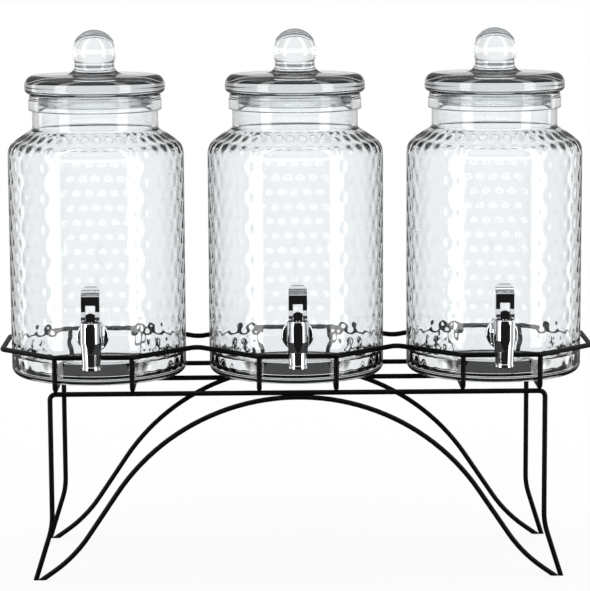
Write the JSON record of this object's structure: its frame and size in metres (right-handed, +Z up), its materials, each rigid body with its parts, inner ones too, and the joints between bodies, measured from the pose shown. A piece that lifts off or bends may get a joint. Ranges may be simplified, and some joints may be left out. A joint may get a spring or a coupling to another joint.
{
  "type": "triple beverage dispenser",
  "caption": "Glass drink jars with ball-knob lids and chrome flip taps, standing in a black wire rack on flared legs; each tap's lever lifts a sprung valve.",
  "frame": {"origin": "on the table, under the middle of the outer box", "axes": "+X along the row of jars, to the right seen from the taps; +Y from the taps to the back; +Z up"},
  "size_m": [0.5218, 0.1982, 0.4749],
  "materials": {
    "coated_wire": "satin",
    "clear_glass": "polished",
    "chrome_plate": "polished",
    "clear_silicone": "satin",
    "washer_rubber": "matte",
    "nut_plastic": "satin",
    "spring_steel": "satin"
  },
  "bodies": {
    "rack": {"top_rail": "coated_wire", "front_leg_frame": "coated_wire", "back_leg_frame": "coated_wire", "front_arch": "coated_wire", "back_arch": "coated_wire", "centre_rod": "coated_wire", "cradle_wire_1": "coated_wire", "cradle_wire_2": "coated_wire", "cradle_wire_3": "coated_wire", "cradle_wire_4": "coated_wire", "cradle_wire_5": "coated_wire", "cradle_wire_6": "coated_wire"},
    "left_dispenser": {"left_jar": "clear_glass", "left_tap_body": "chrome_plate", "left_outer_washer": "washer_rubber", "left_inner_washer": "washer_rubber", "left_back_nut": "nut_plastic", "left_bonnet": "chrome_plate", "left_return_spring": "spring_steel"},
    "left_cover": {"left_lid": "clear_glass", "left_lid_seal": "clear_silicone"},
    "left_valve": {"left_valve_stem": "chrome_plate", "left_valve_seal": "washer_rubber"},
    "left_handle": {"left_lever": "chrome_plate", "left_lever_pin": "spring_steel"},
    "middle_dispenser": {"middle_jar": "clear_glass", "middle_tap_body": "chrome_plate", "middle_outer_washer": "washer_rubber", "middle_inner_washer": "washer_rubber", "middle_back_nut": "nut_plastic", "middle_bonnet": "chrome_plate", "middle_return_spring": "spring_steel"},
    "middle_cover": {"middle_lid": "clear_glass", "middle_lid_seal": "clear_silicone"},
    "middle_valve": {"middle_valve_stem": "chrome_plate", "middle_valve_seal": "washer_rubber"},
    "middle_handle": {"middle_lever": "chrome_plate", "middle_lever_pin": "spring_steel"},
    "right_dispenser": {"right_jar": "clear_glass", "right_tap_body": "chrome_plate", "right_outer_washer": "washer_rubber", "right_inner_washer": "washer_rubber", "right_back_nut": "nut_plastic", "right_bonnet": "chrome_plate", "right_return_spring": "spring_steel"},
    "right_cover": {"right_lid": "clear_glass", "right_lid_seal": "clear_silicone"},
    "right_valve": {"right_valve_stem": "chrome_plate", "right_valve_seal": "washer_rubber"},
    "right_handle": {"right_lever": "chrome_plate", "right_lever_pin": "spring_steel"}
  },
  "joints": [
    {"name": "left_jar_lift", "type": "slide", "parent": "rack", "child": "left_dispenser", "axis": [0, 0, 1], "range_m": [0, 0.12]},
    {"name": "left_lid_lift", "type": "slide", "parent": "left_dispenser", "child": "left_cover", "axis": [0, 0, 1], "range_m": [0, 0.06]},
    {"name": "left_valve_lift", "type": "slide", "parent": "left_dispenser", "child": "left_valve", "axis": [0, 0, 1], "range_m": [0, 0.0032], "stiffness_N_per_m": 250, "springref_m": -0.01, "deforming": ["left_return_spring"]},
    {"name": "left_lever_flip", "type": "hinge", "parent": "left_valve", "child": "left_handle", "pos_m": [-0.176, -0.08977, 0.2361], "axis": [1, 0, 0], "range_deg": [0, 80]},
    {"name": "middle_jar_lift", "type": "slide", "parent": "rack", "child": "middle_dispenser", "axis": [0, 0, 1], "range_m": [0, 0.12]},
    {"name": "middle_lid_lift", "type": "slide", "parent": "middle_dispenser", "child": "middle_cover", "axis": [0, 0, 1], "range_m": [0, 0.06]},
    {"name": "middle_valve_lift", "type": "slide", "parent": "middle_dispenser", "child": "middle_valve", "axis": [0, 0, 1], "range_m": [0, 0.0032], "stiffness_N_per_m": 250, "springref_m": -0.01, "deforming": ["middle_return_spring"]},
    {"name": "middle_lever_flip", "type": "hinge", "parent": "middle_valve", "child": "middle_handle", "pos_m": [0, -0.08977, 0.2361], "axis": [1, 0, 0], "range_deg": [0, 80]},
    {"name": "right_jar_lift", "type": "slide", "parent": "rack", "child": "right_dispenser", "axis": [0, 0, 1], "range_m": [0, 0.12]},
    {"name": "right_lid_lift", "type": "slide", "parent": "right_dispenser", "child": "right_cover", "axis": [0, 0, 1], "range_m": [0, 0.06]},
    {"name": "right_valve_lift", "type": "slide", "parent": "right_dispenser", "child": "right_valve", "axis": [0, 0, 1], "range_m": [0, 0.0032], "stiffness_N_per_m": 250, "springref_m": -0.01, "deforming": ["right_return_spring"]},
    {"name": "right_lever_flip", "type": "hinge", "parent": "right_valve", "child": "right_handle", "pos_m": [0.176, -0.08977, 0.2361], "axis": [1, 0, 0], "range_deg": [0, 80]}
  ],
  "couplings": [
    {"joint": "left_lever_flip", "follows": "left_valve_lift", "rad_per_m": 436.33},
    {"joint": "middle_lever_flip", "follows": "middle_valve_lift", "rad_per_m": 436.33},
    {"joint": "right_lever_flip", "follows": "right_valve_lift", "rad_per_m": 436.33}
  ]
}
